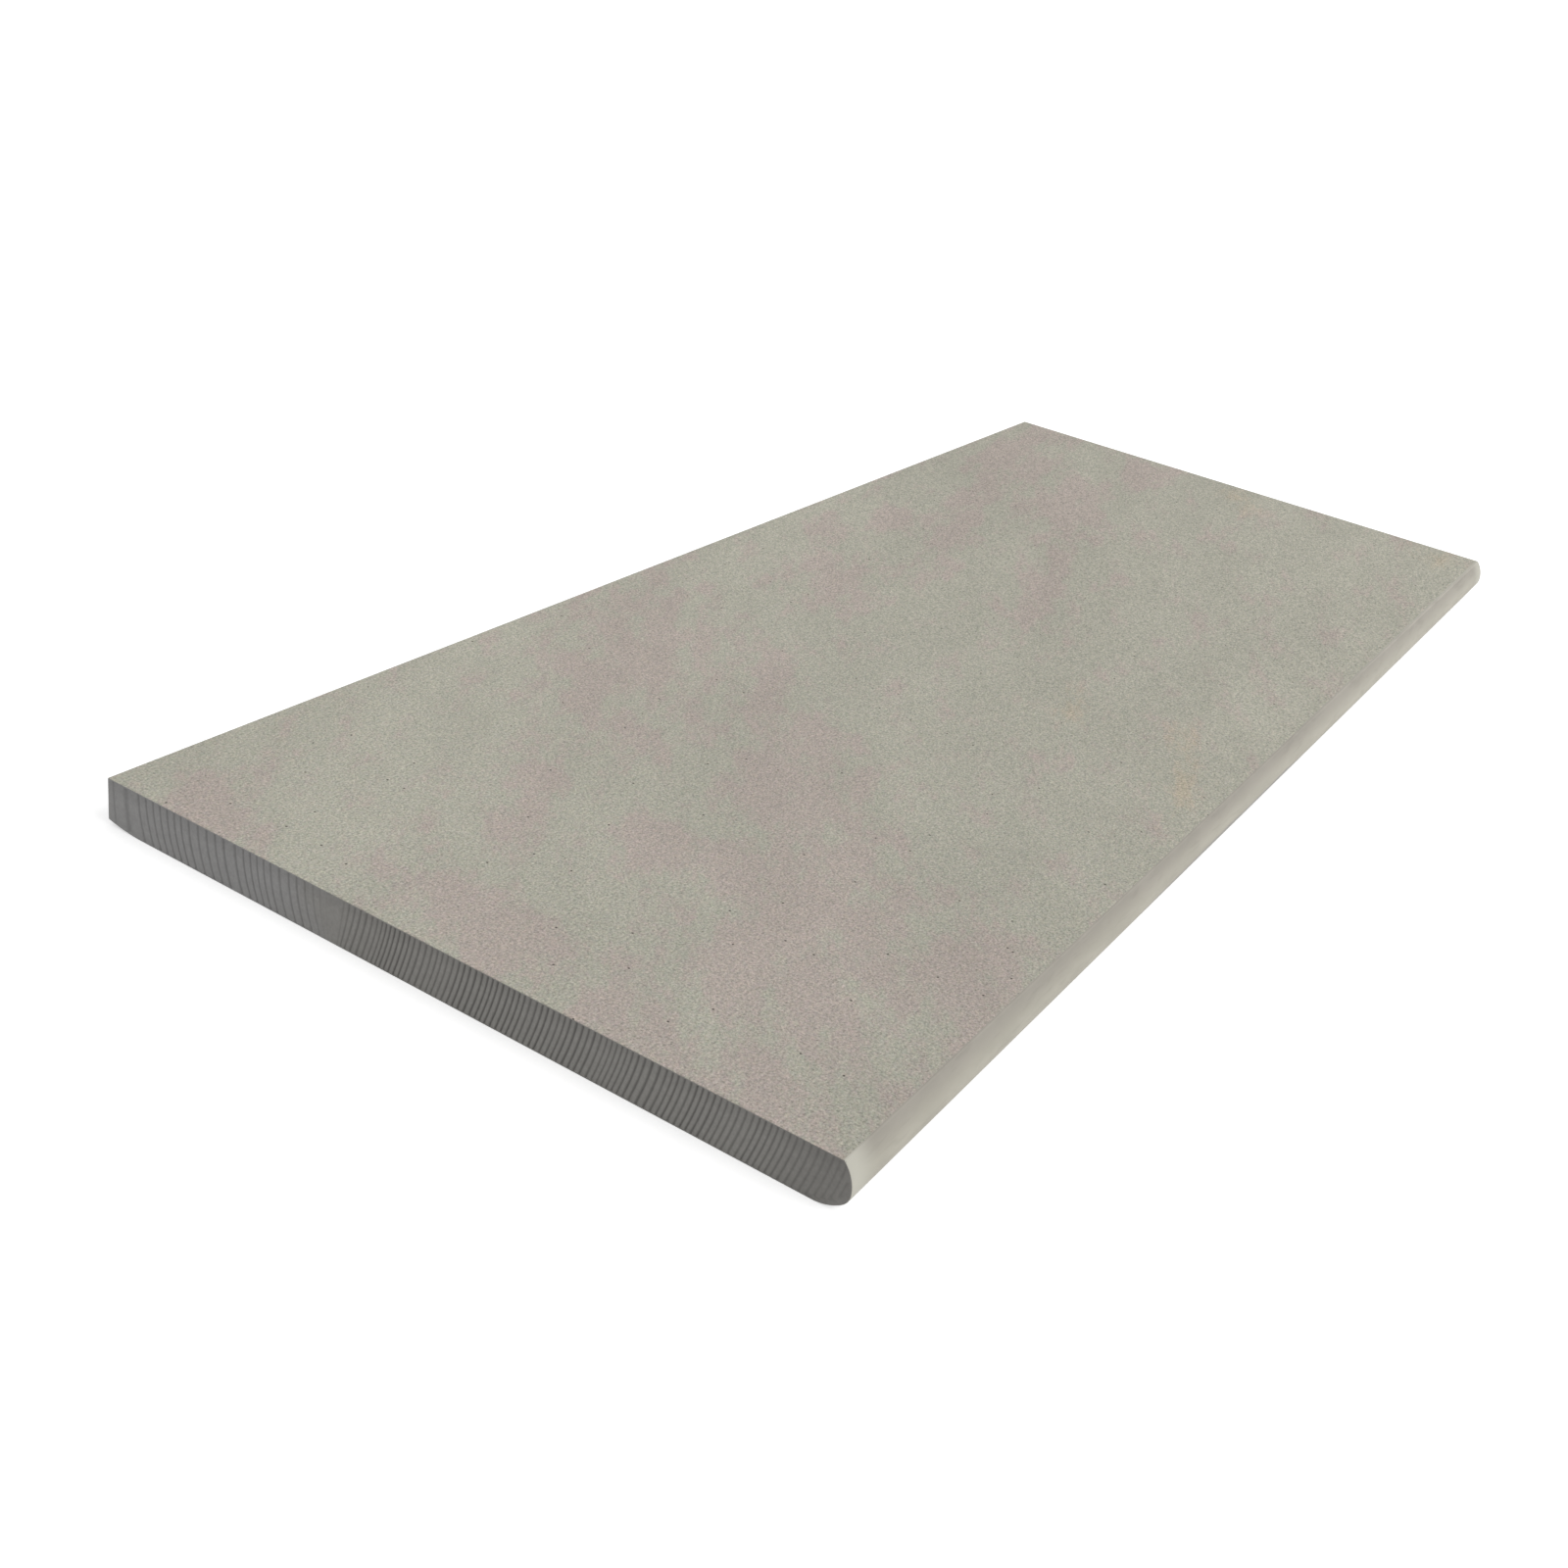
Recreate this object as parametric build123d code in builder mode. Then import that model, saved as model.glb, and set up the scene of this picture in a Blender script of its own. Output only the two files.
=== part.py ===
# Pool coping tile: a flat porcelain slab with a rounded nose along its pool side, a straight
# back edge and two sawn ends. It lies flat on its bed face, with its length along X, its nose
# facing -Y and its back edge facing +Y. The origin is the middle of the bottom of its outer box.
# All sizes are in millimetres and degrees.

import os
from math import cos, radians, sin

from build123d import *

# Outer size
length = 800.0  # from sawn end to sawn end
depth = 330.0  # from the tip of the nose to the back edge
thickness = 20.0

# Nose
tip_height = 9.0  # from the bed face up to the tip
nose_run = 13.0  # how far the front edge of the flat bed face lies behind the tip
nose_turn = 53.0  # how far the tight round below the tip turns before the wide one takes over
nose_setback = 4.5  # how far the front edge of the flat top lies behind the tip

# Edges
ease_run = 19.0  # width of the strip along the back over which the bed face curves up
ease_rise = 2.2  # how far that strip has risen at the back edge
arris = 0.4  # narrow chamfer round both ends and along both back edges

# Places in the section, as distances from the middle of the depth
tip = -depth / 2
back = depth / 2
bed_front = tip + nose_run
bed_back = back - ease_run
top_front = tip + nose_setback

# Radius of the tight round with which the wide one lands level on the front edge of the bed face
turn = radians(nose_turn)
tip_radius = (tip_height * cos(turn) - nose_run * (1 - sin(turn))) / (sin(turn) + cos(turn) - 1)

with BuildPart() as coping_tile:
    # The section is drawn once, seen from the +X end, and is the same over the whole length.
    with BuildSketch(Plane.YZ) as section:
        with BuildLine() as outline:
            tight_round = JernArc((tip, tip_height), (0, -1), tip_radius, nose_turn)
            wide_round = TangentArc(tight_round @ 1, (bed_front, 0), tangent=tight_round % 1)
            bed_line = Line(wide_round @ 1, (bed_back, 0))
            ease = TangentArc(bed_line @ 1, (back, ease_rise), tangent=bed_line % 1)
            back_line = Line(ease @ 1, (back, thickness))
            top_line = Line(back_line @ 1, (top_front, thickness))
            # The upper round leaves the tip upright and runs back to the front edge of the top,
            # which it meets at an angle, so that a crisp line shows along the nose.
            upper_round = TangentArc(tight_round @ 0, top_line @ 1, tangent=(0, 1))
        make_face()
    extrude(amount=length / 2, both=True)

    # Arrises: both sawn outlines and both back edges
    end_outlines = faces().filter_by(Axis.X).edges()
    back_edges = edges().filter_by(Axis.X).group_by(Axis.Y)[-1]
    chamfer(end_outlines + back_edges, length=arris)

os.makedirs("parts", exist_ok=True)
coping_tile.part.label = "coping_tile"
export_step(coping_tile.part, "parts/coping_tile.step")
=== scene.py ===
"""Pool coping tile: a printed porcelain slab with a rounded nose and sawn ends, on a white stage."""

import math

import bmesh
import bpy
from bpy.props import FloatProperty, FloatVectorProperty, PointerProperty
from mathutils import Color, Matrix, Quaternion, Vector


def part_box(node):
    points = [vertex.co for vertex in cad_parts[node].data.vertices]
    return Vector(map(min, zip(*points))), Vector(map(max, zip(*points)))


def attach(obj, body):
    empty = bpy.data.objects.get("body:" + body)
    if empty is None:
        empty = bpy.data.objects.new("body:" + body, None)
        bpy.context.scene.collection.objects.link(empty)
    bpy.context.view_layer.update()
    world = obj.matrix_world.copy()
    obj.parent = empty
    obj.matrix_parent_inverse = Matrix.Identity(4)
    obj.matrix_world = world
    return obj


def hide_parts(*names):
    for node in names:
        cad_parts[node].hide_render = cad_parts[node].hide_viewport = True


bl_info = {
    "name": "Pool coping tile",
    "version": (1, 0, 0),
    "blender": (4, 5, 0),
    "location": "View3D > Sidebar > Coping",
    "description": "Models a pool coping tile with a rounded nose and sawn ends, and its white stage",
    "category": "Object",
}

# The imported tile: X runs along its length, the nose faces -Y, the bed face lies at zero height
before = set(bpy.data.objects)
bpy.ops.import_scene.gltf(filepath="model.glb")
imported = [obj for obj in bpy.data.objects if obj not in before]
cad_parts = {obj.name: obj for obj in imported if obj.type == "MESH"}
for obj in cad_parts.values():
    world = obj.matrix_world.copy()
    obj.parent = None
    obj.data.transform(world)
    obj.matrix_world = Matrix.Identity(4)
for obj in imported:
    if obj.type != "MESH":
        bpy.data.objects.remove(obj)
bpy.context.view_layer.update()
LOW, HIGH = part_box("coping_tile")
LENGTH, DEPTH, THICKNESS = HIGH - LOW

# Two places closer than this, in metres, count as one
TINY = 1e-6

# How straight an end face looks along X, which tells it from its arris
SQUARE = 0.999

# Width of the camera's sensor, in millimetres
SENSOR_WIDTH = 36.0

# The print drifts along a bowed line and is drawn out along it: slope at the tile's middle, and bend
DRIFT_SLOPE, DRIFT_BEND = 0.36, 0.175
DRAW_OUT, DRAW_OUT_BEND = 0.48, 0.24

# Sand in the print: fine and broad grains to a metre, contrast, and share of a colour of its own
FINE_SAND, BROAD_SAND = 1000.0, 620.0
SAND_CONTRAST = 1.45
SAND_TINT = 0.08

# Middle of the stretch along the nose that is darker at the crease and takes the body's colour higher up
# below the tip
DARK_STRETCH_MIDDLE = -0.055

# Clouds in the print: middle (from the tile's middle), half length and half width, in metres
MAUVE_CLOUDS = (
    (-0.385, 0.125, 0.035, 0.035),
    (-0.385, 0.000, 0.045, 0.060),
    (-0.300, -0.080, 0.150, 0.070),
    (-0.280, -0.140, 0.065, 0.045),
    (-0.380, -0.118, 0.035, 0.022),
    (-0.390, -0.065, 0.050, 0.030),
    (-0.205, -0.020, 0.090, 0.055),
    (-0.290, -0.010, 0.035, 0.025),
    (-0.150, 0.105, 0.125, 0.060),
    (-0.125, 0.045, 0.070, 0.025),
    (-0.290, 0.050, 0.080, 0.018),
    (0.010, 0.090, 0.060, 0.040),
    (0.070, 0.135, 0.045, 0.018),
    (0.125, 0.118, 0.035, 0.022),
    (0.165, 0.095, 0.150, 0.022),
    (0.320, 0.135, 0.120, 0.050),
    (0.250, 0.062, 0.110, 0.040),
    (0.110, 0.013, 0.120, 0.016),
    (0.370, 0.060, 0.070, 0.030),
)
OCHRE_CLOUDS = (
    (-0.030, -0.066, 0.045, 0.020),
    (0.375, -0.005, 0.050, 0.035),
    (-0.055, -0.135, 0.110, 0.016),
    (0.375, -0.140, 0.060, 0.030),
)
LIGHT_CLOUDS = (
    (-0.310, 0.100, 0.150, 0.090),
    (0.320, -0.090, 0.220, 0.070),
    (0.050, -0.135, 0.100, 0.030),
    (0.390, -0.150, 0.080, 0.030),
    (-0.180, 0.160, 0.200, 0.060),
    (0.060, 0.160, 0.200, 0.070),
)
DARK_CLOUDS = (
    (-0.190, 0.005, 0.100, 0.050),
    (-0.260, -0.130, 0.120, 0.050),
    (0.110, 0.005, 0.220, 0.035),
    (-0.380, -0.150, 0.060, 0.025),
    (0.250, 0.120, 0.180, 0.060),
)


class TileShape(bpy.types.PropertyGroup):
    """Sizes of the tile's section and edges."""

    tip_height: FloatProperty(
        name="Tip height",
        description="Height of the tip of the nose above the bed face",
        default=0.009,
        unit="LENGTH",
    )
    nose_run: FloatProperty(
        name="Nose run",
        description="How far the front edge of the flat bed face lies behind the tip of the nose",
        default=0.013,
        unit="LENGTH",
    )
    nose_turn: FloatProperty(
        name="Nose turn",
        description="How far the tight round below the tip turns before the wide one takes over",
        default=math.radians(53),
        subtype="ANGLE",
    )
    nose_setback: FloatProperty(
        name="Nose setback",
        description="How far the front edge of the flat top lies behind the tip of the nose",
        default=0.0045,
        unit="LENGTH",
    )
    ease_run: FloatProperty(
        name="Ease run",
        description="Width of the strip along the back over which the bed face curves up",
        default=0.019,
        unit="LENGTH",
    )
    ease_rise: FloatProperty(
        name="Ease rise",
        description="How far that strip has risen at the back edge",
        default=0.0022,
        unit="LENGTH",
    )
    arris: FloatProperty(
        name="Arris",
        description="Narrow bevel round both ends and along both back edges",
        default=0.0004,
        unit="LENGTH",
    )
    crease: FloatProperty(
        name="Crease",
        description="Bevel that eases the line between the flat top and the nose",
        default=0.0004,
        unit="LENGTH",
    )


class SawMarks(bpy.types.PropertyGroup):
    """The two families of blade marks on the sawn ends."""

    coarse_pitch: FloatProperty(
        name="Coarse pitch",
        description="Distance between blade marks near the back edge",
        default=0.0042,
        unit="LENGTH",
    )
    fine_pitch: FloatProperty(
        name="Fine pitch",
        description="Distance between blade marks towards the nose",
        default=0.0024,
        unit="LENGTH",
    )
    change: FloatProperty(
        name="Change",
        description="Distance from the back edge at which the coarse marks give way to the fine ones",
        default=0.116,
        unit="LENGTH",
    )
    blank: FloatProperty(
        name="Blank",
        description="Width of the smooth patch between the two families",
        default=0.010,
        unit="LENGTH",
    )
    coarse_width: FloatProperty(
        name="Coarse width",
        description="Width of one coarse mark",
        default=0.0019,
        unit="LENGTH",
    )
    fine_width: FloatProperty(
        name="Fine width",
        description="Width of one fine mark",
        default=0.0015,
        unit="LENGTH",
    )
    groove_depth: FloatProperty(
        name="Groove depth",
        description="Depth of the deepest marks",
        default=0.00035,
        unit="LENGTH",
    )
    coarse_lean: FloatProperty(
        name="Coarse lean",
        description="How far the foot of a coarse mark bends towards the nose",
        default=0.0046,
        unit="LENGTH",
    )
    fine_lean: FloatProperty(
        name="Fine lean",
        description="How far the foot of a fine mark bends towards the back edge",
        default=0.0047,
        unit="LENGTH",
    )


class TileColours(bpy.types.PropertyGroup):
    """Colours of the print, the nose and the fired body."""

    green_grey: FloatVectorProperty(
        name="Green grey",
        description="Ground colour of the sandstone print",
        default=(0.666, 0.659, 0.609),
        subtype="COLOR_GAMMA",
    )
    mauve: FloatVectorProperty(
        name="Mauve",
        description="Colour of the clouds in the sandstone print",
        default=(0.675, 0.637, 0.606),
        subtype="COLOR_GAMMA",
    )
    ochre: FloatVectorProperty(
        name="Ochre",
        description="Colour of the few warm streaks in the sandstone print",
        default=(0.699, 0.664, 0.596),
        subtype="COLOR_GAMMA",
    )
    # Painted shade: a dark colour that stands for the shade inside the pinholes
    pinhole_shade: FloatVectorProperty(
        name="Pinhole",
        description="Colour inside the pinholes of the top",
        default=(0.25, 0.24, 0.22),
        subtype="COLOR_GAMMA",
    )
    pale_grain: FloatVectorProperty(
        name="Pale grain",
        description="Colour of the few pale grains in the top",
        default=(0.80, 0.79, 0.75),
        subtype="COLOR_GAMMA",
    )
    nose_rim: FloatVectorProperty(
        name="Nose rim",
        description="Colour of the narrow ground rim along the front of the flat top",
        default=(0.651, 0.636, 0.600),
        subtype="COLOR_GAMMA",
    )
    # Painted shade: the darker end of the painted light over the nose, next to the flat top
    nose_shaded_edge: FloatVectorProperty(
        name="Nose edge",
        description="Colour of the nose next to the flat top",
        default=(0.590, 0.572, 0.537),
        subtype="COLOR_GAMMA",
    )
    # Painted light: the paler end of that gradient, at the tip, which faces the light
    nose_lit_tip: FloatVectorProperty(
        name="Nose tip",
        description="Colour of the nose at its tip",
        default=(0.662, 0.647, 0.600),
        subtype="COLOR_GAMMA",
    )
    nose_end: FloatVectorProperty(
        name="Nose end",
        description="Colour of the nose next to the sawn ends",
        default=(0.712, 0.705, 0.662),
        subtype="COLOR_GAMMA",
    )
    body_back: FloatVectorProperty(
        name="Body at the back",
        description="Colour of the fired body near the back edge",
        default=(0.588, 0.584, 0.580),
        subtype="COLOR_GAMMA",
    )
    body_front: FloatVectorProperty(
        name="Body at the front",
        description="Colour of the fired body towards the nose",
        default=(0.562, 0.554, 0.538),
        subtype="COLOR_GAMMA",
    )


class Studio(bpy.types.PropertyGroup):
    """Camera, light and floor."""

    camera_place: FloatVectorProperty(
        name="Camera place",
        description="Where the camera stands",
        default=(-0.81412, -0.34057, 0.37290),
        subtype="TRANSLATION",
        unit="LENGTH",
    )
    camera_aim: FloatVectorProperty(
        name="Camera aim",
        description="The point on the top of the tile that the camera looks at",
        default=(-0.20637, -0.01551, 0.02),
        subtype="TRANSLATION",
        unit="LENGTH",
    )
    camera_roll: FloatProperty(
        name="Camera roll",
        description="Turn of the camera about its own axis",
        default=math.radians(9.39),
        subtype="ANGLE",
    )
    lens: FloatProperty(
        name="Lens",
        description="Focal length on a sensor 36 mm wide",
        default=42.78,
        unit="CAMERA",
    )
    ambient: FloatProperty(
        name="Ambient",
        description="Strength of the even light from all round",
        default=0.6,
    )
    key: FloatProperty(
        name="Key",
        description="Strength of the broad lamp in front of the nose",
        default=1.9,
    )
    key_spread: FloatProperty(
        name="Key spread",
        description="How wide that lamp looks from the tile, which softens its shadows",
        default=math.radians(60),
        subtype="ANGLE",
    )
    key_direction: FloatVectorProperty(
        name="Key direction",
        description="Which way the light of that lamp falls",
        default=(-0.3, 0.8, -0.65),
        subtype="XYZ",
    )
    floor_size: FloatProperty(
        name="Floor size",
        description="Length of each side of the floor",
        default=60.0,
        unit="LENGTH",
    )
    floor_tone: FloatProperty(
        name="Floor tone",
        description="How much of the light the floor gives back",
        default=0.82,
    )
    floor_lift: FloatProperty(
        name="Floor lift",
        description="Glow that makes the floor show white and its shadow faint",
        default=0.5,
    )


class NodeMaker:
    """Adds nodes to one tree, fills their inputs with values or links, and gives back their outputs."""

    # Places of the sockets for colours on a Mix node
    SHARE, FIRST, SECOND = 0, 6, 7
    MIXED = 2

    def __init__(self, tree):
        self.tree = tree

    def add(self, kind, inputs, output=0, **options):
        node = self.tree.nodes.new(kind)
        for name, value in options.items():
            setattr(node, name, value)
        for name, value in inputs.items():
            if isinstance(value, bpy.types.NodeSocket):
                self.tree.links.new(value, node.inputs[name])
            else:
                node.inputs[name].default_value = value
        return node.outputs[output]

    def link(self, output, node, name):
        """Links an output to the named input of a node that is already there."""
        self.tree.links.new(output, node.inputs[name])

    def math(self, operation, first, second=0.0, third=0.0):
        return self.add("ShaderNodeMath", {0: first, 1: second, 2: third}, operation=operation)

    def product(self, first, second):
        return self.math("MULTIPLY", first, second)

    def line(self, value, start, end, low, high, **options):
        """An even change from low to high while value goes from start to end."""
        inputs = {"Value": value, "From Min": start, "From Max": end, "To Min": low, "To Max": high}
        return self.add("ShaderNodeMapRange", inputs, **options)

    def ramp(self, value, start, end, low=0.0, high=1.0):
        """A soft step from low to high while value goes from start to end."""
        return self.line(value, start, end, low, high, interpolation_type="SMOOTHSTEP")

    def noise(self, vector, scale, detail=2.0, roughness=0.5, output="Fac"):
        inputs = {"Vector": vector, "Scale": scale, "Detail": detail, "Roughness": roughness}
        return self.add("ShaderNodeTexNoise", inputs, output)

    def smears(self, vector, size, detail):
        """Noise in drawn-out patches of about the given size along X, Y and Z."""
        return self.noise(self.stretched(vector, size), scale=1.0, detail=detail, roughness=0.6)

    def blend(self, share, first, second, mode="MIX"):
        """Mixes two colours by share."""
        inputs = {self.SHARE: share, self.FIRST: first, self.SECOND: second}
        return self.add("ShaderNodeMix", inputs, self.MIXED, data_type="RGBA", blend_type=mode)

    def shaded(self, colour, factor):
        """A colour made darker or lighter by a factor."""
        return self.blend(1.0, colour, factor, "MULTIPLY")

    def stretched(self, vector, size, middle=(0.0, 0.0, 0.0)):
        """Coordinates of a pattern that is moved to middle and stretched to a size."""
        inputs = {"Vector": vector, "Location": middle, "Scale": size}
        return self.add("ShaderNodeMapping", inputs, vector_type="TEXTURE")

    def apart(self, vector):
        """The X, Y and Z of a place."""
        return self.add("ShaderNodeSeparateXYZ", {"Vector": vector}).node.outputs

    def bump(self, height, distance, strength=0.2):
        """A faint unevenness of the surface."""
        inputs = {"Strength": strength, "Distance": distance, "Height": height}
        return self.add("ShaderNodeBump", inputs)


def linear(colour):
    """A shader colour from one that is written as it looks on screen."""
    return (*Color(colour).from_srgb_to_scene_linear(), 1.0)


def select_where(tile, kind, chosen):
    """In edit mode, selects the vertices, edges or faces that are chosen, and nothing else."""
    bpy.ops.mesh.select_mode(type=kind)
    bpy.ops.mesh.select_all(action="DESELECT")
    shape = bmesh.from_edit_mesh(tile.data)
    parts = {"VERT": shape.verts, "EDGE": shape.edges, "FACE": shape.faces}[kind]
    for part in parts:
        if not part.hide and chosen(part):
            part.select_set(True)
    bmesh.update_edit_mesh(tile.data)


def lies_at(edge, axis, place):
    """Whether both ends of an edge lie at a place on an axis."""
    return all(abs(vertex.co[axis] - place) < TINY for vertex in edge.verts)


def is_sawn(face):
    """Whether a face is part of one of the sawn ends."""
    return abs(face.normal.x) > SQUARE


def add_flat_top(shape):
    """Adds the flat top of the tile as a plane, at its size and place."""
    front = LOW.y + shape.nose_setback
    bpy.ops.mesh.primitive_plane_add(size=1, location=(0, (front + HIGH.y) / 2, THICKNESS))
    tile = bpy.context.object
    tile.name = "coping_tile_finished"
    tile.scale = (LENGTH, HIGH.y - front, 1)
    bpy.ops.object.transform_apply(location=True, rotation=True, scale=True)
    return tile


def spin_edge(y, z, angle, steps):
    """Sweeps the selected edge round a centre line along X, from the top over the nose to the bed."""
    bpy.ops.mesh.spin(steps=steps, angle=angle, center=(0, y, z), axis=(-1, 0, 0))


def pull_edge(way):
    """Sweeps the selected edge straight along a way."""
    bpy.ops.mesh.extrude_region_move(TRANSFORM_OT_translate={"value": way})


def sweep_section(tile, shape):
    """Carries the front edge of the top round the nose, under the tile and up the back."""
    rise = THICKNESS - shape.tip_height
    upper_radius = (rise**2 + shape.nose_setback**2) / (2 * shape.nose_setback)
    sine = math.sin(shape.nose_turn)
    cosine = math.cos(shape.nose_turn)
    tight_radius = (shape.tip_height * cosine - shape.nose_run * (1 - sine)) / (sine + cosine - 1)
    wide_radius = (shape.nose_run * sine - shape.tip_height * (1 - cosine)) / (sine + cosine - 1)
    ease_radius = (shape.ease_run**2 + shape.ease_rise**2) / (2 * shape.ease_rise)
    bed_front = LOW.y + shape.nose_run
    bed_back = HIGH.y - shape.ease_run
    select_where(tile, "EDGE", lambda edge: lies_at(edge, 1, LOW.y + shape.nose_setback))
    spin_edge(LOW.y + upper_radius, shape.tip_height, math.asin(rise / upper_radius), steps=12)
    spin_edge(LOW.y + tight_radius, shape.tip_height, shape.nose_turn, steps=10)
    spin_edge(bed_front, wide_radius, math.pi / 2 - shape.nose_turn, steps=8)
    pull_edge((0, bed_back - bed_front, 0))
    spin_edge(bed_back, ease_radius, math.asin(shape.ease_run / ease_radius), steps=8)
    pull_edge((0, 0, THICKNESS - shape.ease_rise))
    bpy.ops.mesh.select_all(action="SELECT")
    bpy.ops.mesh.remove_doubles(threshold=TINY)


def close_ends(tile, shape):
    """Closes both ends of the swept section and bevels the edges that are not rounded."""
    for place in (LOW.x, HIGH.x):
        select_where(tile, "EDGE", lambda edge: lies_at(edge, 0, place))
        bpy.ops.mesh.edge_face_add()
    bpy.ops.mesh.select_all(action="SELECT")
    bpy.ops.mesh.normals_make_consistent(inside=False)

    def is_sharp(edge):
        on_end = lies_at(edge, 0, LOW.x) or lies_at(edge, 0, HIGH.x)
        level = lies_at(edge, 2, THICKNESS) or lies_at(edge, 2, shape.ease_rise)
        return on_end or (lies_at(edge, 1, HIGH.y) and level)

    def is_crease(edge):
        return lies_at(edge, 1, LOW.y + shape.nose_setback) and lies_at(edge, 2, THICKNESS)

    for chosen, width in ((is_sharp, shape.arris), (is_crease, shape.crease)):
        select_where(tile, "EDGE", chosen)
        bpy.ops.mesh.bevel(offset=width, segments=2, profile=0.5)


def cut(place, normal):
    """Cuts all that shows in edit mode along a plane."""
    bpy.ops.mesh.select_all(action="SELECT")
    bpy.ops.mesh.bisect(plane_co=place, plane_no=normal, threshold=TINY)


def cut_rows(shape):
    """Cuts the sawn ends into even rows, with a narrow one along the top and the foot."""
    rows = 14
    edge_row = 0.00025
    lowest = shape.arris + edge_row
    row_height = (THICKNESS - 2 * lowest) / rows
    for row in range(rows + 1):
        cut((0, 0, lowest + row * row_height), (0, 0, 1))


def cut_columns(tile, shape):
    """Cuts the sawn ends into narrow columns: one by one at the curved feet, and wide ones divided."""
    narrow = 0.00022
    cuts_in_wide = 19
    nose_columns = math.ceil(shape.nose_run / narrow)
    ease_columns = math.ceil(shape.ease_run / narrow)
    for column in range(nose_columns + 1):
        cut((0, LOW.y + column * narrow, 0), (0, 1, 0))
    for column in range(ease_columns + 1):
        cut((0, HIGH.y - column * narrow, 0), (0, 1, 0))
    start = LOW.y + nose_columns * narrow
    end = HIGH.y - ease_columns * narrow
    wide_columns = math.ceil((end - start) / (narrow * (cuts_in_wide + 1)))
    width = (end - start) / wide_columns
    for column in range(1, wide_columns):
        cut((0, start + column * width, 0), (0, 1, 0))

    def crosses_wide(edge):
        return abs(edge.verts[0].co.y - edge.verts[1].co.y) > width / 2

    select_where(tile, "EDGE", crosses_wide)
    bpy.ops.mesh.subdivide(number_cuts=cuts_in_wide)


def fan_strips(tile):
    """Divides the arris strips along the sliced ends from their middles, so that none is a mere line."""
    plain = 4
    select_where(tile, "FACE", lambda face: len(face.verts) > plain and not is_sawn(face))
    bpy.ops.mesh.poke(center_mode="BOUNDS")


def slice_ends(tile, shape):
    """Cuts the sawn ends finely enough for the saw marks, and groups the vertices that may move."""
    select_where(tile, "FACE", is_sawn)
    bpy.ops.mesh.hide(unselected=True)
    cut_rows(shape)
    cut_columns(tile, shape)
    bpy.ops.mesh.reveal(select=False)
    fan_strips(tile)
    select_where(tile, "VERT", lambda vertex: all(is_sawn(face) for face in vertex.link_faces))
    bpy.ops.object.vertex_group_assign_new()
    tile.vertex_groups.active.name = "sawn"


def grooves(nodes, across, side, pitch, width, wander, seed):
    """One in the middle of each blade mark, nothing between them. Spacing and depth vary a little."""
    half_turn = 0.5
    place = nodes.add("ShaderNodeCombineXYZ", {"X": across, "Y": side, "Z": seed})
    drift = nodes.product(nodes.noise(place, scale=28.0), wander)
    turns = nodes.math("ADD", nodes.math("DIVIDE", across, pitch), drift)
    from_middle = nodes.product(nodes.math("PINGPONG", turns, half_turn), pitch)
    mark = nodes.ramp(from_middle, 0.0, width / 2, low=1.0, high=0.0)
    depth = nodes.ramp(nodes.noise(place, scale=75.0), 0.3, 0.6, low=0.7, high=1.0)
    return nodes.product(mark, depth)


def coarse_marks(nodes, marks, from_back, side):
    """The marks near the back edge: shallow, fainter at the edge and fading before the smooth patch."""
    last = marks.change - marks.blank / 2
    share_of_depth = 0.64
    each = grooves(nodes, from_back, side, marks.coarse_pitch, marks.coarse_width, wander=5.0, seed=0.3)
    ends = nodes.ramp(from_back, last - 0.020, last + 0.010, low=1.0, high=0.0)
    starts = nodes.ramp(from_back, 0.002, 0.030, low=0.6, high=1.0)
    return nodes.product(nodes.product(each, nodes.product(ends, starts)), share_of_depth)


def fine_marks(nodes, marks, from_back, side):
    """The marks towards the nose: deep, starting behind the smooth patch and fading at the nose."""
    first = marks.change + marks.blank / 2
    each = grooves(nodes, from_back, side, marks.fine_pitch, marks.fine_width, wander=4.0, seed=0.7)
    deepens = nodes.ramp(from_back, first, first + 0.030, low=0.78, high=1.0)
    ends = nodes.ramp(from_back, DEPTH - 0.050, DEPTH, low=1.0, high=0.35)
    starts = nodes.ramp(from_back, first - 0.003, first + 0.002)
    return nodes.product(nodes.product(each, nodes.product(deepens, ends)), starts)


def foot_bend(nodes, marks, from_back, down):
    """How far a mark bends at each height: coarse ones towards the nose, fine ones towards the back."""
    overlap = 0.012
    first, last = marks.change - overlap, marks.change + overlap
    coarse_curve, fine_curve = 2.0, 1.4
    is_fine = nodes.ramp(from_back, first, last)
    is_coarse = nodes.ramp(from_back, first, last, low=1.0, high=0.0)
    is_coarse = nodes.product(is_coarse, nodes.ramp(from_back, 0.0, 0.025, low=0.3, high=1.0))
    coarse = nodes.product(nodes.math("POWER", down, coarse_curve), -marks.coarse_lean)
    fine = nodes.product(nodes.math("POWER", down, fine_curve), marks.fine_lean)
    return nodes.math("ADD", nodes.product(coarse, is_coarse), nodes.product(fine, is_fine))


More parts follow.
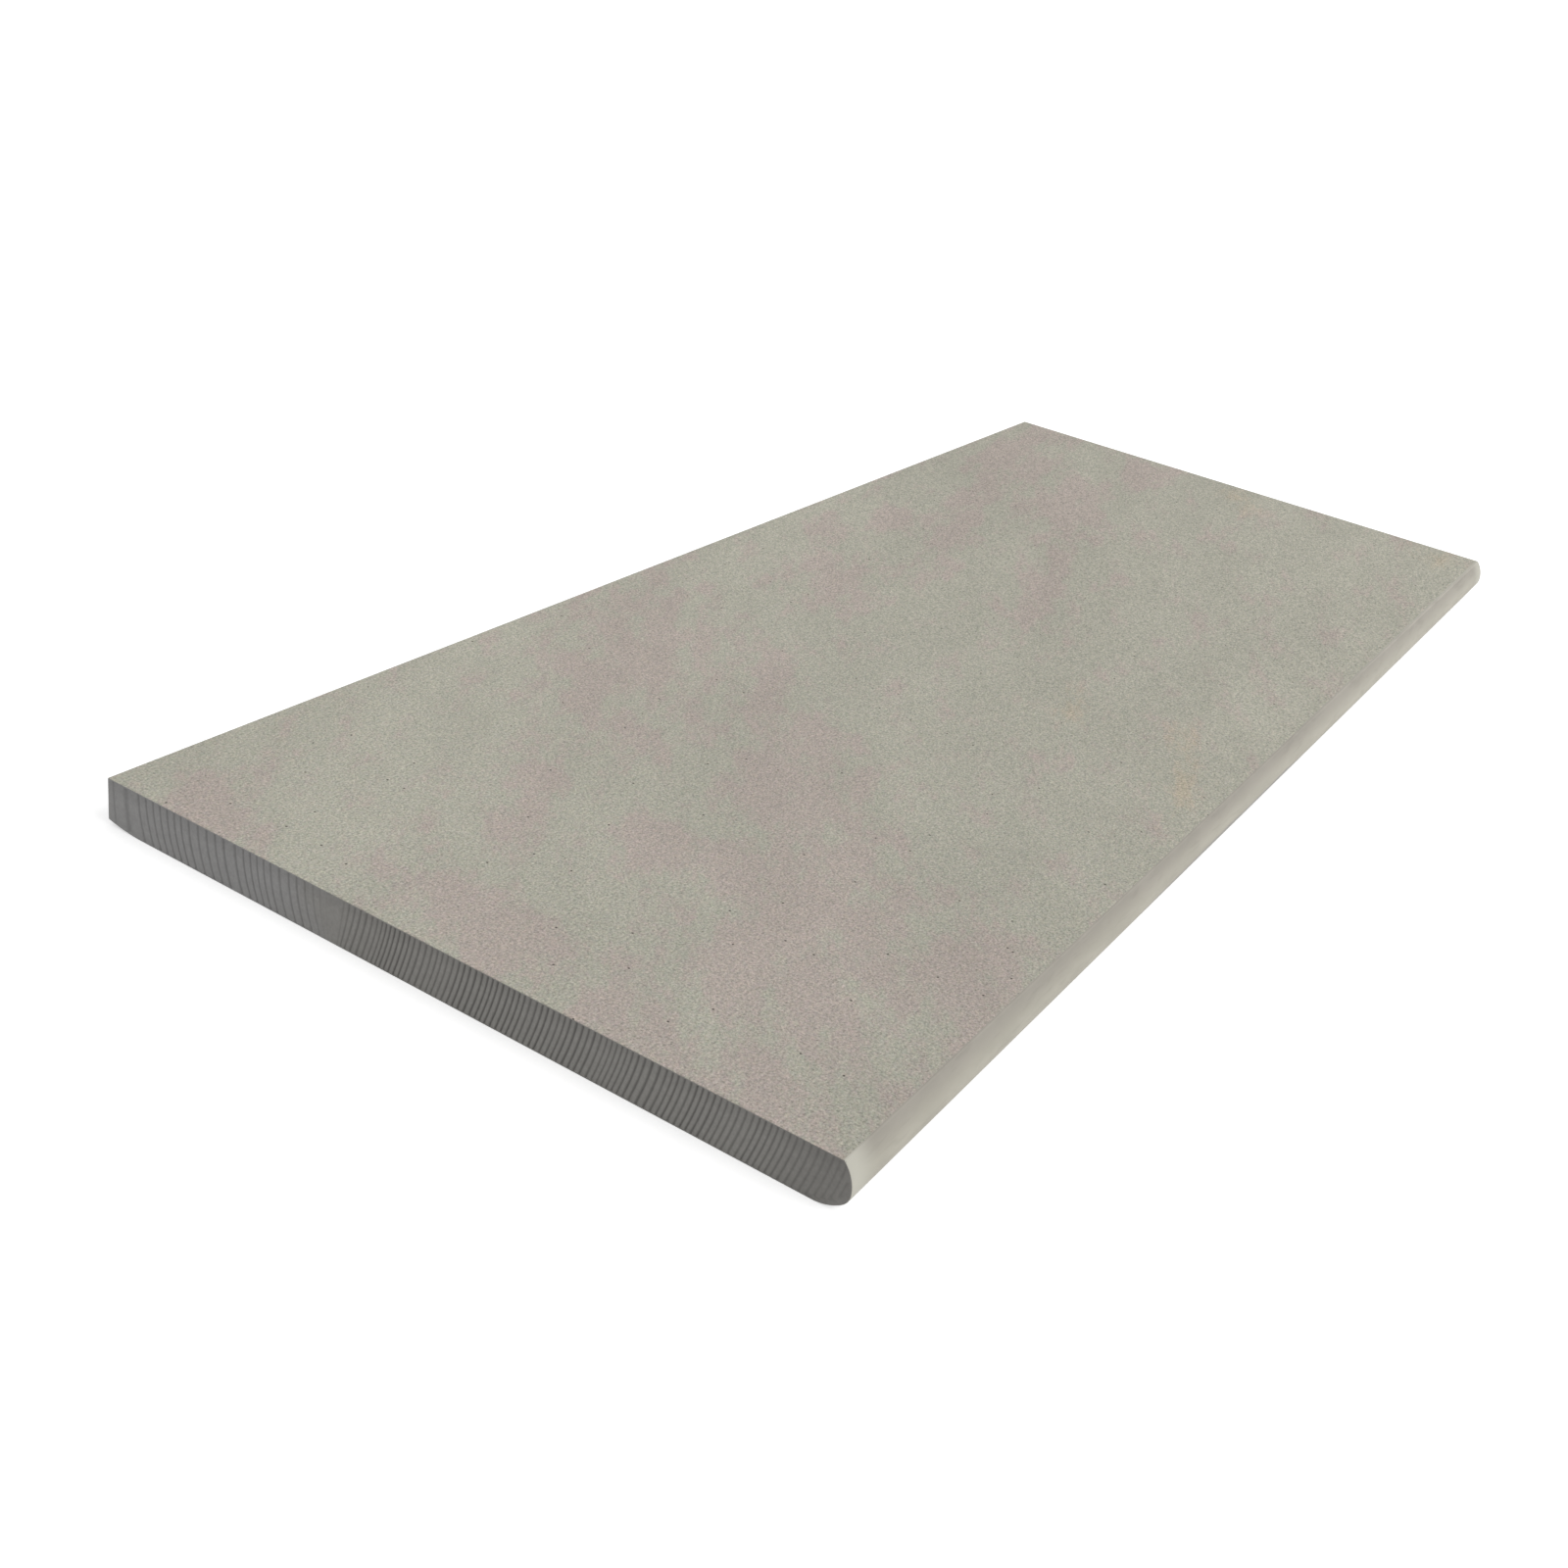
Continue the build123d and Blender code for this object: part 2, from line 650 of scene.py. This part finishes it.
def saw_mark_nodes(marks):
    """Geometry nodes that press the blade marks into the sawn ends and bend their feet."""
    tree = bpy.data.node_groups.new("saw_marks", "GeometryNodeTree")
    tree.is_modifier = True
    for way in ("INPUT", "OUTPUT"):
        tree.interface.new_socket("Geometry", in_out=way, socket_type="NodeSocketGeometry")
    nodes = NodeMaker(tree)
    tile = nodes.add("NodeGroupInput", {})
    sawn = nodes.add("GeometryNodeInputNamedAttribute", {"Name": "sawn"}, data_type="FLOAT")
    x, y, z = nodes.apart(nodes.add("GeometryNodeInputPosition", {}))
    from_back = nodes.math("SUBTRACT", HIGH.y, y)
    side = nodes.math("SIGN", x)
    down = nodes.math("DIVIDE", nodes.math("SUBTRACT", THICKNESS, z), THICKNESS)

    coarse = coarse_marks(nodes, marks, from_back, side)
    fine = fine_marks(nodes, marks, from_back, side)
    groove = nodes.product(nodes.math("ADD", coarse, fine), sawn)
    bend = nodes.product(foot_bend(nodes, marks, from_back, down), sawn)
    press = nodes.product(nodes.product(groove, side), -marks.groove_depth)
    offset = nodes.add("ShaderNodeCombineXYZ", {"X": press, "Y": bend})
    # The depth of each mark is kept as groove, for the painted shade in the body's colour
    stored = nodes.add(
        "GeometryNodeStoreNamedAttribute",
        {"Geometry": tile, "Name": "groove", "Value": groove},
        data_type="FLOAT",
        domain="POINT",
    )
    marked = nodes.add("GeometryNodeSetPosition", {"Geometry": stored, "Offset": offset})
    nodes.link(marked, tree.nodes.new("NodeGroupOutput"), "Geometry")
    return tree


def new_material(name, roughness, shine):
    """A material with one Principled surface, with its node maker, its surface and its coordinates."""
    material = bpy.data.materials.new(name)
    material.use_nodes = True
    surface = material.node_tree.nodes["Principled BSDF"]
    surface.inputs["Roughness"].default_value = roughness
    surface.inputs["Specular IOR Level"].default_value = shine
    nodes = NodeMaker(material.node_tree)
    return material, nodes, surface, nodes.add("ShaderNodeTexCoord", {}, "Object")


def bowed(x, slope, bend):
    """Height of a bowed line at x: its slope at the middle of the tile, less towards the +X end."""
    return (slope - bend * x) * x


def bowed_nodes(nodes, x, slope, bend):
    """The same line for a place that comes from a node."""
    return nodes.product(nodes.math("SUBTRACT", slope, nodes.product(x, bend)), x)


def cloud_share(nodes, drift, clouds, weight):
    """The weight in the middle of each cloud, nothing at its rim. The clouds follow the drift."""
    share = 0.0
    for x, y, half_length, half_width in clouds:
        middle = (x, y - bowed(x, DRIFT_SLOPE, DRIFT_BEND), 0.0)
        spot = nodes.stretched(drift, (half_length, half_width, 1.0), middle)
        spot = nodes.add("ShaderNodeTexGradient", {"Vector": spot}, "Fac", gradient_type="SPHERICAL")
        share = nodes.math("MAXIMUM", share, spot)
    return nodes.product(share, weight)


def clouded(nodes, x, y, colours):
    """Colour of the print without its sand: ragged clouds that drift, in slow light and shade."""
    # Places across the tile are measured from the bowed line that the wisps follow
    across = nodes.math("SUBTRACT", y, bowed_nodes(nodes, x, DRIFT_SLOPE, DRIFT_BEND))
    drift = nodes.add("ShaderNodeCombineXYZ", {"X": x, "Y": across})
    drawn_out = bowed_nodes(nodes, x, DRAW_OUT, DRAW_OUT_BEND)
    streaky = nodes.add("ShaderNodeCombineXYZ", {"X": drawn_out, "Y": across})

    # Wisps tear the outlines of the clouds and make holes in them
    wisps = nodes.noise(streaky, scale=55.0, detail=6.0, roughness=0.70)
    wisps = nodes.line(wisps, 0.3, 0.7, low=0.10, high=0.90, clamp=False)
    mauve = nodes.math("ADD", cloud_share(nodes, drift, MAUVE_CLOUDS, weight=0.45), wisps)
    mauve = nodes.ramp(mauve, 0.50, 0.84)
    colour = nodes.blend(mauve, linear(colours.green_grey), linear(colours.mauve))
    ochre = nodes.math("ADD", cloud_share(nodes, drift, OCHRE_CLOUDS, weight=0.60), wisps)
    ochre = nodes.ramp(ochre, 0.75, 1.25)
    colour = nodes.blend(ochre, colour, linear(colours.ochre))

    # Slow light and shade over the whole face
    light = cloud_share(nodes, drift, LIGHT_CLOUDS, weight=0.06)
    dark = cloud_share(nodes, drift, DARK_CLOUDS, weight=0.06)
    tone = nodes.noise(streaky, scale=26.0, detail=5.0, roughness=0.6)
    tone = nodes.ramp(tone, 0.3, 0.7, low=0.955, high=1.035)
    tone = nodes.math("ADD", tone, nodes.math("SUBTRACT", light, dark))
    return nodes.shaded(colour, tone)


def sand(nodes, place, grains_per_metre, detail):
    """Grains darker and lighter than their ground, which is nothing."""
    average = 0.5
    grains = nodes.noise(place, grains_per_metre, detail, roughness=0.8)
    return nodes.math("SUBTRACT", grains, average)


def spots(nodes, place, cells_per_metre, share, radius):
    """One inside small round spots, scattered one to a cell over a share of the cells."""
    cell = nodes.add(
        "ShaderNodeTexVoronoi", {"Vector": place, "Scale": cells_per_metre}, voronoi_dimensions="2D"
    ).node
    chance = nodes.add("ShaderNodeSeparateColor", {"Color": cell.outputs["Color"]})
    rim = radius * cells_per_metre
    inside, outside = rim * 0.6, rim * 1.2
    spot = nodes.ramp(cell.outputs["Distance"], inside, outside, low=1.0, high=0.0)
    return nodes.product(spot, nodes.math("LESS_THAN", chance, share))


def behind_rim(nodes, x, y, crease):
    """Nothing on the rim of the top that was ground with the nose, one behind it."""
    softness = 0.0003
    width = nodes.ramp(x, LOW.x / 2, HIGH.x, low=0.0004, high=0.0013)
    from_rim = nodes.math("SUBTRACT", nodes.math("SUBTRACT", y, crease), width)
    return nodes.ramp(from_rim, -softness, softness)


def sandstone_print(shape, colours):
    """The matt print on the top: ragged clouds, fine sand, a few pinholes with painted shade inside, and
    a rim in front where the sand has gone.
    """
    material, nodes, surface, place = new_material("sandstone_print", roughness=0.85, shine=0.15)
    x, y, _ = nodes.apart(place)
    colour = clouded(nodes, x, y, colours)

    # Sand: light and dark, with a little colour of its own, a trace coarser towards the +X end
    fine_sand = sand(nodes, place, FINE_SAND, detail=1.5)
    broad_sand = sand(nodes, place, BROAD_SAND, detail=2.0)
    broad_sand = nodes.product(broad_sand, nodes.ramp(x, -0.45, 0.35, low=0.34, high=0.94))
    both = nodes.math("ADD", fine_sand, broad_sand)
    colour = nodes.shaded(colour, nodes.math("MULTIPLY_ADD", both, SAND_CONTRAST, 1.0))
    tint = nodes.noise(place, BROAD_SAND, detail=2.0, roughness=0.7, output="Color")
    colour = nodes.blend(SAND_TINT, colour, tint, "OVERLAY")

    # Pinholes: a few open ones, and many shallow ones between them, each with painted shade inside. Pale
    # grains lie among them
    shallow, hole_shade_strength, grain_cover = 0.30, 0.85, 0.5
    open_holes = spots(nodes, place, cells_per_metre=55.0, share=0.22, radius=0.00050)
    shallow_holes = spots(nodes, place, cells_per_metre=190.0, share=0.25, radius=0.00035)
    hole = nodes.math("MAXIMUM", open_holes, nodes.product(shallow_holes, shallow))
    # Painted shade: the pinholes take a dark colour for the shade inside them
    colour = nodes.blend(nodes.product(hole, hole_shade_strength), colour, linear(colours.pinhole_shade))
    pale_grains = spots(nodes, place, cells_per_metre=73.0, share=0.25, radius=0.00040)
    colour = nodes.blend(nodes.product(pale_grains, grain_cover), colour, linear(colours.pale_grain))

    # Rim: the sand has gone from the front of the top, further back towards the +X end
    kept = behind_rim(nodes, x, y, LOW.y + shape.nose_setback)
    rim = nodes.blend(nodes.ramp(x, 0.0, HIGH.x), linear(colours.nose_rim), linear(colours.nose_end))
    nodes.link(nodes.blend(kept, rim, colour), surface, "Base Color")
    height = nodes.product(nodes.math("SUBTRACT", fine_sand, hole), kept)
    nodes.link(nodes.bump(height, distance=0.0004), surface, "Normal")
    return material


def ground_nose(colours):
    """The nose: ground smooth, with painted light that makes it paler towards its tip, paler towards its
    ends, and with soft smudges along it.
    """
    material, nodes, surface, place = new_material("ground_nose", roughness=0.6, shine=0.2)
    x, _, z = nodes.apart(place)
    smudges = nodes.smears(place, (0.030, 0.010, 0.010), detail=4.0)
    strokes = nodes.smears(place, (0.020, 0.004, 0.003), detail=3.0)

    # From the crease to the tip, along a wavy line, the colour turns paler in painted light; smudges and
    # strokes of the grinding wheel lie over it
    wave = 0.009
    wavy = nodes.math("MULTIPLY_ADD", smudges, wave, z)
    lit_to_tip = nodes.ramp(wavy, THICKNESS * 0.76, THICKNESS * 1.24, low=1.0, high=0.0)
    colour = nodes.blend(lit_to_tip, linear(colours.nose_shaded_edge), linear(colours.nose_lit_tip))
    colour = nodes.shaded(colour, nodes.ramp(smudges, 0.35, 0.65, low=0.93, high=1.05))
    colour = nodes.shaded(colour, nodes.ramp(strokes, 0.52, 0.70, low=1.0, high=0.92))
    colour = nodes.shaded(colour, nodes.ramp(x, LOW.x, HIGH.x, low=0.96, high=1.03))

    # Painted highlight along the eased crease, strongest towards the +X end
    crease = nodes.ramp(z, THICKNESS - 0.0007, THICKNESS - 0.0002)
    crease_highlight = nodes.ramp(x, 0.0, HIGH.x, low=0.08, high=0.30)
    colour = nodes.shaded(colour, nodes.math("MULTIPLY_ADD", crease, crease_highlight, 1.0))

    # Next to the sawn ends the nose is pale
    from_middle = nodes.math("ABSOLUTE", x)
    at_end = nodes.ramp(from_middle, HIGH.x - 0.018, HIGH.x - 0.003, low=0.0, high=0.8)
    colour = nodes.blend(at_end, colour, linear(colours.nose_end))

    # Along the middle the nose is darker at the crease, and below the tip it takes the body's colour up
    # to a higher, wavy line
    body_line_height, body_line_rise, body_line_wave, body_line_softness = 0.0030, 0.0034, 0.005, 0.0012
    from_dark_stretch = nodes.math("ABSOLUTE", nodes.math("SUBTRACT", x, DARK_STRETCH_MIDDLE))
    middle = nodes.ramp(from_dark_stretch, 0.06, 0.14, low=1.0, high=0.0)
    darker = nodes.ramp(z, THICKNESS * 0.75, THICKNESS, low=0.0, high=-0.045)
    colour = nodes.shaded(colour, nodes.math("ADD", nodes.product(middle, darker), 1.0))
    body_line = nodes.math("MULTIPLY_ADD", middle, body_line_rise, body_line_height)
    body_line = nodes.math("MULTIPLY_ADD", smudges, body_line_wave, body_line)
    above_body_line = nodes.math("SUBTRACT", z, body_line)
    body_coloured = nodes.ramp(above_body_line, -body_line_softness, body_line_softness, low=1.0, high=0.0)
    nodes.link(nodes.blend(body_coloured, colour, linear(colours.body_front)), surface, "Base Color")
    return material


def sawn_body(colours):
    """The fired body: grey, fine grained, browner towards the nose, with painted shade in the blade
    marks.
    """
    material, nodes, surface, place = new_material("sawn_body", roughness=0.8, shine=0.2)
    _, y, z = nodes.apart(place)
    wave = 0.05
    patches = nodes.noise(place, scale=60.0, detail=3.0, roughness=0.6)
    wavy = nodes.math("ADD", y, nodes.product(patches, wave))
    to_front = nodes.ramp(wavy, 0.110, 0.060)
    colour = nodes.blend(to_front, linear(colours.body_back), linear(colours.body_front))
    streaks = nodes.smears(place, (0.03, 0.002, 0.002), detail=3.0)
    colour = nodes.shaded(colour, nodes.ramp(streaks, 0.3, 0.7, low=0.955, high=1.045))
    grain = nodes.noise(place, scale=900.0, detail=3.0, roughness=0.65)
    colour = nodes.shaded(colour, nodes.line(grain, 0.3, 0.7, low=0.95, high=1.05))

    # Darker under the print and next to the nose; lighter at the foot in painted light thrown up from
    # the floor
    colour = nodes.shaded(colour, nodes.ramp(z, THICKNESS * 0.6, THICKNESS, low=1.0, high=0.86))
    # Painted light: the foot is lighter, as if lit from the floor below
    colour = nodes.shaded(colour, nodes.ramp(z, 0.0, THICKNESS * 0.5, low=1.08, high=1.0))
    colour = nodes.shaded(colour, nodes.ramp(y, LOW.y + 0.004, LOW.y + 0.040, low=0.80, high=1.0))

    # Painted shade in the blade marks, darker where they are deeper
    groove_painted_shade = 0.52
    groove = nodes.add("ShaderNodeAttribute", {}, "Fac", attribute_name="groove")
    colour = nodes.shaded(colour, nodes.math("SUBTRACT", 1.0, nodes.product(groove, groove_painted_shade)))
    nodes.link(colour, surface, "Base Color")
    nodes.link(nodes.bump(grain, distance=0.0003), surface, "Normal")
    return material


def paint(tile, shape, colours):
    """Gives the faces of the tile their finishes: body all over, then the print on top and the nose."""
    body, top, nose = range(3)
    for finish in (sawn_body(colours), sandstone_print(shape, colours), ground_nose(colours)):
        tile.data.materials.append(finish)

    # Limits for the normal of a face: how far it leans to an end, looks up and looks to the front
    sideways, upward, forward = 0.5, 0.2, -0.1

    def is_printed(face):
        return abs(face.normal.x) < sideways and face.calc_center_median().z > shape.tip_height / 4

    def is_top(face):
        high = face.calc_center_median().z > THICKNESS - shape.arris
        return is_printed(face) and high and face.normal.z > upward and face.normal.y > forward

    def is_nose(face):
        in_front = face.calc_center_median().y < LOW.y + shape.nose_run
        return is_printed(face) and in_front and face.normal.y < forward

    for slot, chosen in ((nose, is_nose), (top, is_top)):
        select_where(tile, "FACE", chosen)
        tile.active_material_index = slot
        bpy.ops.object.material_slot_assign()


class OBJECT_OT_coping_tile(bpy.types.Operator):
    """Models the coping tile with its nose, arrises and saw marks, and gives it its finishes"""

    bl_idname = "object.coping_tile"
    bl_label = "Coping tile"
    bl_options = {"REGISTER", "UNDO"}

    def execute(self, context):
        scene = context.scene
        shape = scene.tile_shape
        bpy.ops.object.select_all(action="DESELECT")
        tile = add_flat_top(shape)
        bpy.ops.object.mode_set(mode="EDIT")
        sweep_section(tile, shape)
        close_ends(tile, shape)
        slice_ends(tile, shape)
        paint(tile, shape, scene.tile_colours)
        bpy.ops.object.mode_set(mode="OBJECT")
        bpy.ops.object.shade_smooth_by_angle(angle=math.radians(8))
        modifier = tile.modifiers.new("saw_marks", "NODES")
        modifier.node_group = saw_mark_nodes(scene.saw_marks)
        bpy.ops.object.modifier_apply(modifier=modifier.name)
        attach(tile, "root")
        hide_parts("coping_tile")
        return {"FINISHED"}


def seen_rays(nodes):
    """One for the rays that show the stage itself: from the camera, reflected and refracted."""
    path = nodes.add("ShaderNodeLightPath", {}).node
    seen = nodes.math("MAXIMUM", path.outputs["Is Camera Ray"], path.outputs["Is Glossy Ray"])
    return nodes.math("MAXIMUM", seen, path.outputs["Is Transmission Ray"])


def white_floor(studio):
    """A pale floor that shows white and keeps a trace of the tile's shadow. From below it is clear."""
    material = bpy.data.materials.new("white_floor")
    material.use_nodes = True
    tree = material.node_tree
    tree.nodes.remove(tree.nodes["Principled BSDF"])
    nodes = NodeMaker(tree)
    tone = studio.floor_tone
    matt = nodes.add("ShaderNodeBsdfDiffuse", {"Color": (tone, tone, tone, 1.0)})
    lift = nodes.product(seen_rays(nodes), studio.floor_lift)
    glow = nodes.add("ShaderNodeEmission", {"Strength": lift})
    lit = nodes.add("ShaderNodeAddShader", {0: matt, 1: glow})
    below = nodes.add("ShaderNodeNewGeometry", {}, "Backfacing")
    camera = nodes.add("ShaderNodeLightPath", {}, "Is Camera Ray")
    clear = nodes.add("ShaderNodeBsdfTransparent", {})
    seen_from_below = nodes.product(below, camera)
    floor = nodes.add("ShaderNodeMixShader", {0: seen_from_below, 1: lit, 2: clear})
    nodes.link(floor, tree.nodes["Material Output"], "Surface")
    return material


def lay_floor(studio):
    """Lays the white floor under the tile."""
    bpy.ops.mesh.primitive_plane_add(size=studio.floor_size)
    floor = bpy.context.object
    floor.name = "floor"
    floor.data.materials.append(white_floor(studio))


def light_all_round(scene, studio):
    """Lights the scene evenly from all round, before a backdrop that shows white."""
    world = bpy.data.worlds.new("even_light")
    world.use_nodes = True
    scene.world = world
    nodes = NodeMaker(world.node_tree)
    backdrop = world.node_tree.nodes["Background"]
    backdrop.inputs["Color"].default_value = (1.0, 1.0, 1.0, 1.0)
    strength = nodes.line(seen_rays(nodes), 0.0, 1.0, low=studio.ambient, high=1.0)
    nodes.link(strength, backdrop, "Strength")


def hang_key_light(studio):
    """Hangs the broad lamp in front of the nose."""
    bpy.ops.object.light_add(type="SUN")
    key = bpy.context.object
    key.name = "key_light"
    key.data.energy = studio.key
    key.data.angle = studio.key_spread
    key.rotation_mode = "QUATERNION"
    key.rotation_quaternion = Vector(studio.key_direction).to_track_quat("-Z", "Y")


def set_camera(scene, studio):
    """Sets the camera where the photo was taken from."""
    bpy.ops.object.camera_add(location=studio.camera_place)
    camera = bpy.context.object
    camera.name = "photo_camera"
    camera.data.sensor_width = SENSOR_WIDTH
    camera.data.lens = studio.lens
    sight = Vector(studio.camera_aim) - Vector(studio.camera_place)
    camera.rotation_mode = "QUATERNION"
    roll = Quaternion((0, 0, 1), studio.camera_roll)
    camera.rotation_quaternion = sight.to_track_quat("-Z", "Y") @ roll
    scene.camera = camera


class SCENE_OT_tile_stage(bpy.types.Operator):
    """Sets the white floor, the soft light and the camera"""

    bl_idname = "scene.tile_stage"
    bl_label = "Stage"
    bl_options = {"REGISTER", "UNDO"}

    def execute(self, context):
        scene = context.scene
        studio = scene.studio
        bpy.ops.object.select_all(action="DESELECT")
        lay_floor(studio)
        light_all_round(scene, studio)
        hang_key_light(studio)
        set_camera(scene, studio)
        scene.view_settings.view_transform = "Standard"
        return {"FINISHED"}


class VIEW3D_PT_coping_tile(bpy.types.Panel):
    """Sizes, colours and steps of the coping tile"""

    bl_label = "Coping tile"
    bl_space_type = "VIEW_3D"
    bl_region_type = "UI"
    bl_category = "Coping"

    def draw(self, context):
        scene = context.scene
        for group in (scene.tile_shape, scene.saw_marks, scene.tile_colours, scene.studio):
            box = self.layout.box()
            for name in group.bl_rna.properties.keys():
                if name not in ("rna_type", "name"):
                    box.prop(group, name)
        self.layout.operator(OBJECT_OT_coping_tile.bl_idname)
        self.layout.operator(SCENE_OT_tile_stage.bl_idname)


CLASSES = (
    TileShape,
    SawMarks,
    TileColours,
    Studio,
    OBJECT_OT_coping_tile,
    SCENE_OT_tile_stage,
    VIEW3D_PT_coping_tile,
)


def register():
    for each in CLASSES:
        bpy.utils.register_class(each)
    bpy.types.Scene.tile_shape = PointerProperty(type=TileShape)
    bpy.types.Scene.saw_marks = PointerProperty(type=SawMarks)
    bpy.types.Scene.tile_colours = PointerProperty(type=TileColours)
    bpy.types.Scene.studio = PointerProperty(type=Studio)


def unregister():
    for name in ("tile_shape", "saw_marks", "tile_colours", "studio"):
        delattr(bpy.types.Scene, name)
    for each in reversed(CLASSES):
        bpy.utils.unregister_class(each)


def main():
    register()
    bpy.ops.object.coping_tile()
    bpy.ops.scene.tile_stage()


if __name__ == "__main__":
    main()
